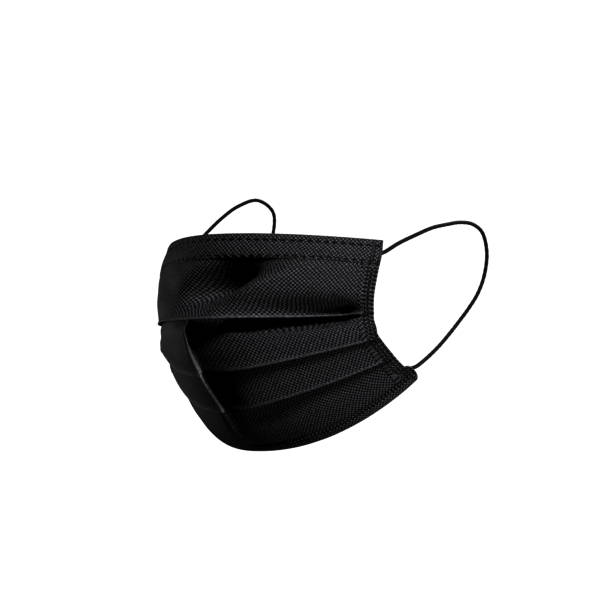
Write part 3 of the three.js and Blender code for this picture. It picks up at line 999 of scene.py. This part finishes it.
pressed_colour = add_node(tree, "ShaderNodeMix",
                          {0: film.outputs[0], 6: colour.outputs[2], 7: linear("#030303")},
                          data_type="RGBA")
print("nodes so far:", len(tree.nodes))

# %% [markdown]
# The pits are far too small to model one by one over the whole mask, so they are a bump,
# 0.4 mm deep. The web scatters light in all directions: roughness is high and the
# specular level low. The IOR of 1.49 is that of polypropylene.

# %% The surface of the cloth
PIT_DEPTH = 0.4
height = add_node(tree, "ShaderNodeMath", {0: dots.outputs[0], 1: film.outputs[0]},
                  operation="MAXIMUM")
bump = add_node(tree, "ShaderNodeBump",
                {"Height": height.outputs[0], "Strength": 1.0, "Distance": PIT_DEPTH * MM},
                invert=True)
shader = add_node(tree, "ShaderNodeBsdfPrincipled",
                  {"Base Color": pressed_colour.outputs[2], "Roughness": 0.7, "IOR": 1.49,
                   "Specular IOR Level": 0.15, "Normal": bump.outputs[0]})
add_node(tree, "ShaderNodeOutputMaterial", {0: shader.outputs[0]})
for piece in (cloth, band, hem, *margins):
    piece.data.materials.append(cloth_material)
print(cloth_material.name, "on", cloth_material.users, "pieces")

# %% [markdown]
# ## The elastic
#
# The cover of the loop is knitted from dyed polyester yarn: matt, and a deeper black than
# the cloth, because light is lost between the yarns. The attribute "yarn" from the tube
# paints the raised yarns a little lighter than the gaps between them: a painted highlight
# on the yarns and painted shade in the gaps. That gives the eye the fine braided grain of
# the cord.

# %% Elastic
elastic_material, tree = new_material("knitted_polyester_elastic")
yarn_over = add_node(tree, "ShaderNodeAttribute", attribute_name="yarn")
raised = add_node(tree, "ShaderNodeMapRange", {"Value": yarn_over.outputs["Fac"]})
# Painted highlight on the raised yarns and painted shade in the gaps between them.
yarn_painted_light = add_node(tree, "ShaderNodeMix",
                       {0: raised.outputs[0], 6: linear("#010101"), 7: linear("#060607")},
                       data_type="RGBA")
shader = add_node(tree, "ShaderNodeBsdfPrincipled",
                  {"Base Color": yarn_painted_light.outputs[2], "Roughness": 0.8,
                   "Specular IOR Level": 0.15})
add_node(tree, "ShaderNodeOutputMaterial", {0: shader.outputs[0]})
for loop in loops.values():
    loop.data.materials.append(elastic_material)
print(elastic_material.name, "on", elastic_material.users, "pieces")

# %% [markdown]
# ## The floor
#
# A worn mask hangs in the air at the height of a face, so the floor is well below it. It
# is white paper: flat under the mask, then rising in a smooth bend to a wall, like the
# sweep in a product studio. It is a surface of revolution, a profile turned round the
# vertical axis. It glows, so that it stays an even white, and it throws no light back on
# the mask, so the black cloth keeps its own shading.

# %% Floor
FLOOR_Z = -0.3                    # from here on in metres
FLAT_RADIUS = 2.4
BEND_RADIUS = 0.9
WALL_TOP = 3.5
FIRST_RING = 0.3                  # radius of the smallest ring
FLAT_RINGS = 8
BEND_START = 0.1                  # angle of the first ring of the bend
BEND_RINGS = 10
FLOOR_SIDES = 96
FLOOR_GLOW = 0.95
bend = np.linspace(BEND_START, np.pi / 2, BEND_RINGS)
floor_radius = np.concatenate([[0.0], np.linspace(FIRST_RING, FLAT_RADIUS, FLAT_RINGS),
                               FLAT_RADIUS + BEND_RADIUS * np.sin(bend),
                               [FLAT_RADIUS + BEND_RADIUS]])
floor_height = np.concatenate([np.zeros(1 + FLAT_RINGS), BEND_RADIUS * (1 - np.cos(bend)),
                               [WALL_TOP]])
angle = np.linspace(0, 2 * np.pi, FLOOR_SIDES, endpoint=False)
floor_points = np.stack(np.broadcast_arrays(
    floor_radius[:, None] * np.cos(angle), floor_radius[:, None] * np.sin(angle),
    floor_height[:, None] + FLOOR_Z), axis=-1) / MM
floor = grid_object("floor", floor_points, tube=True)
floor_material, tree = new_material("white_paper_floor")
shader = add_node(tree, "ShaderNodeBsdfPrincipled",
                  {"Base Color": linear("#f4f4f4"), "Roughness": 0.9,
                   "Emission Color": linear("#ffffff"), "Emission Strength": FLOOR_GLOW})
add_node(tree, "ShaderNodeOutputMaterial", {0: shader.outputs[0]})
floor.data.materials.append(floor_material)
floor.visible_diffuse = False
floor.visible_glossy = False

# %% [markdown]
# ## The lights
#
# Folds show best when light comes across them. The key is a softbox on the wearer's left
# and above, so every lip catches light along its rim and throws a shadow on the panel
# under it. The lower panels look downward and would stay black, so a small lamp close by
# grazes them from low on the left. It stands a little behind the face, where it can't
# reach into the hollows. A weak one on the right shows the far side, and a broad one
# behind lights the inside of the mask and the loops.

# %% Lights
def softbox(name, azimuth, elevation, distance, size, watts):
    """A square lamp that faces the mask. Azimuth 0 is straight ahead of the mask and 90 on
    the wearer's left, and elevation is above the horizon, both in degrees."""
    light = bpy.data.lights.new(name, "AREA")
    light.shape = "SQUARE"
    light.size = size
    light.energy = watts
    lamp = bpy.data.objects.new(name, light)
    bpy.context.collection.objects.link(lamp)
    turned, raised = math.radians(azimuth), math.radians(elevation)
    away = Vector((math.sin(turned) * math.cos(raised),
                   -math.cos(turned) * math.cos(raised), math.sin(raised)))
    lamp.location = Vector(MASK_MIDDLE * MM) + away * distance
    lamp.rotation_euler = (-away).to_track_quat("-Z", "Y").to_euler()
    lamp.visible_camera = False
    print(f"{name}: {watts} W")


# name, azimuth, elevation, distance and size in metres, watts
softbox("key", 76, 35, 1.0, 0.25, 28)
softbox("low_left", 110, -20, 0.45, 0.12, 2.4)
softbox("side_right", -78, 0, 1.0, 0.4, 10)
softbox("behind", 180, 35, 1.2, 0.8, 45)

# %% [markdown]
# ## The air and the display
#
# Almost no light comes from all around, so the deep folds stay black. The view transform
# is Standard, because the filmic ones would turn blacks into grey. A gamma under 1 then
# darkens the low end a little more than the high end. It is set for the whole picture and
# not in the cloth, so the cloth keeps honest values under any other light.

# %% World and view
AMBIENT = 0.02
VIEW_GAMMA = 0.58
world = bpy.data.worlds.new("studio")
world.use_nodes = True
world.node_tree.nodes["Background"].inputs["Color"].default_value = (1, 1, 1, 1)
world.node_tree.nodes["Background"].inputs["Strength"].default_value = AMBIENT
bpy.context.scene.world = world
bpy.context.scene.view_settings.view_transform = "Standard"
bpy.context.scene.view_settings.gamma = VIEW_GAMMA
print("view:", bpy.context.scene.view_settings.view_transform)
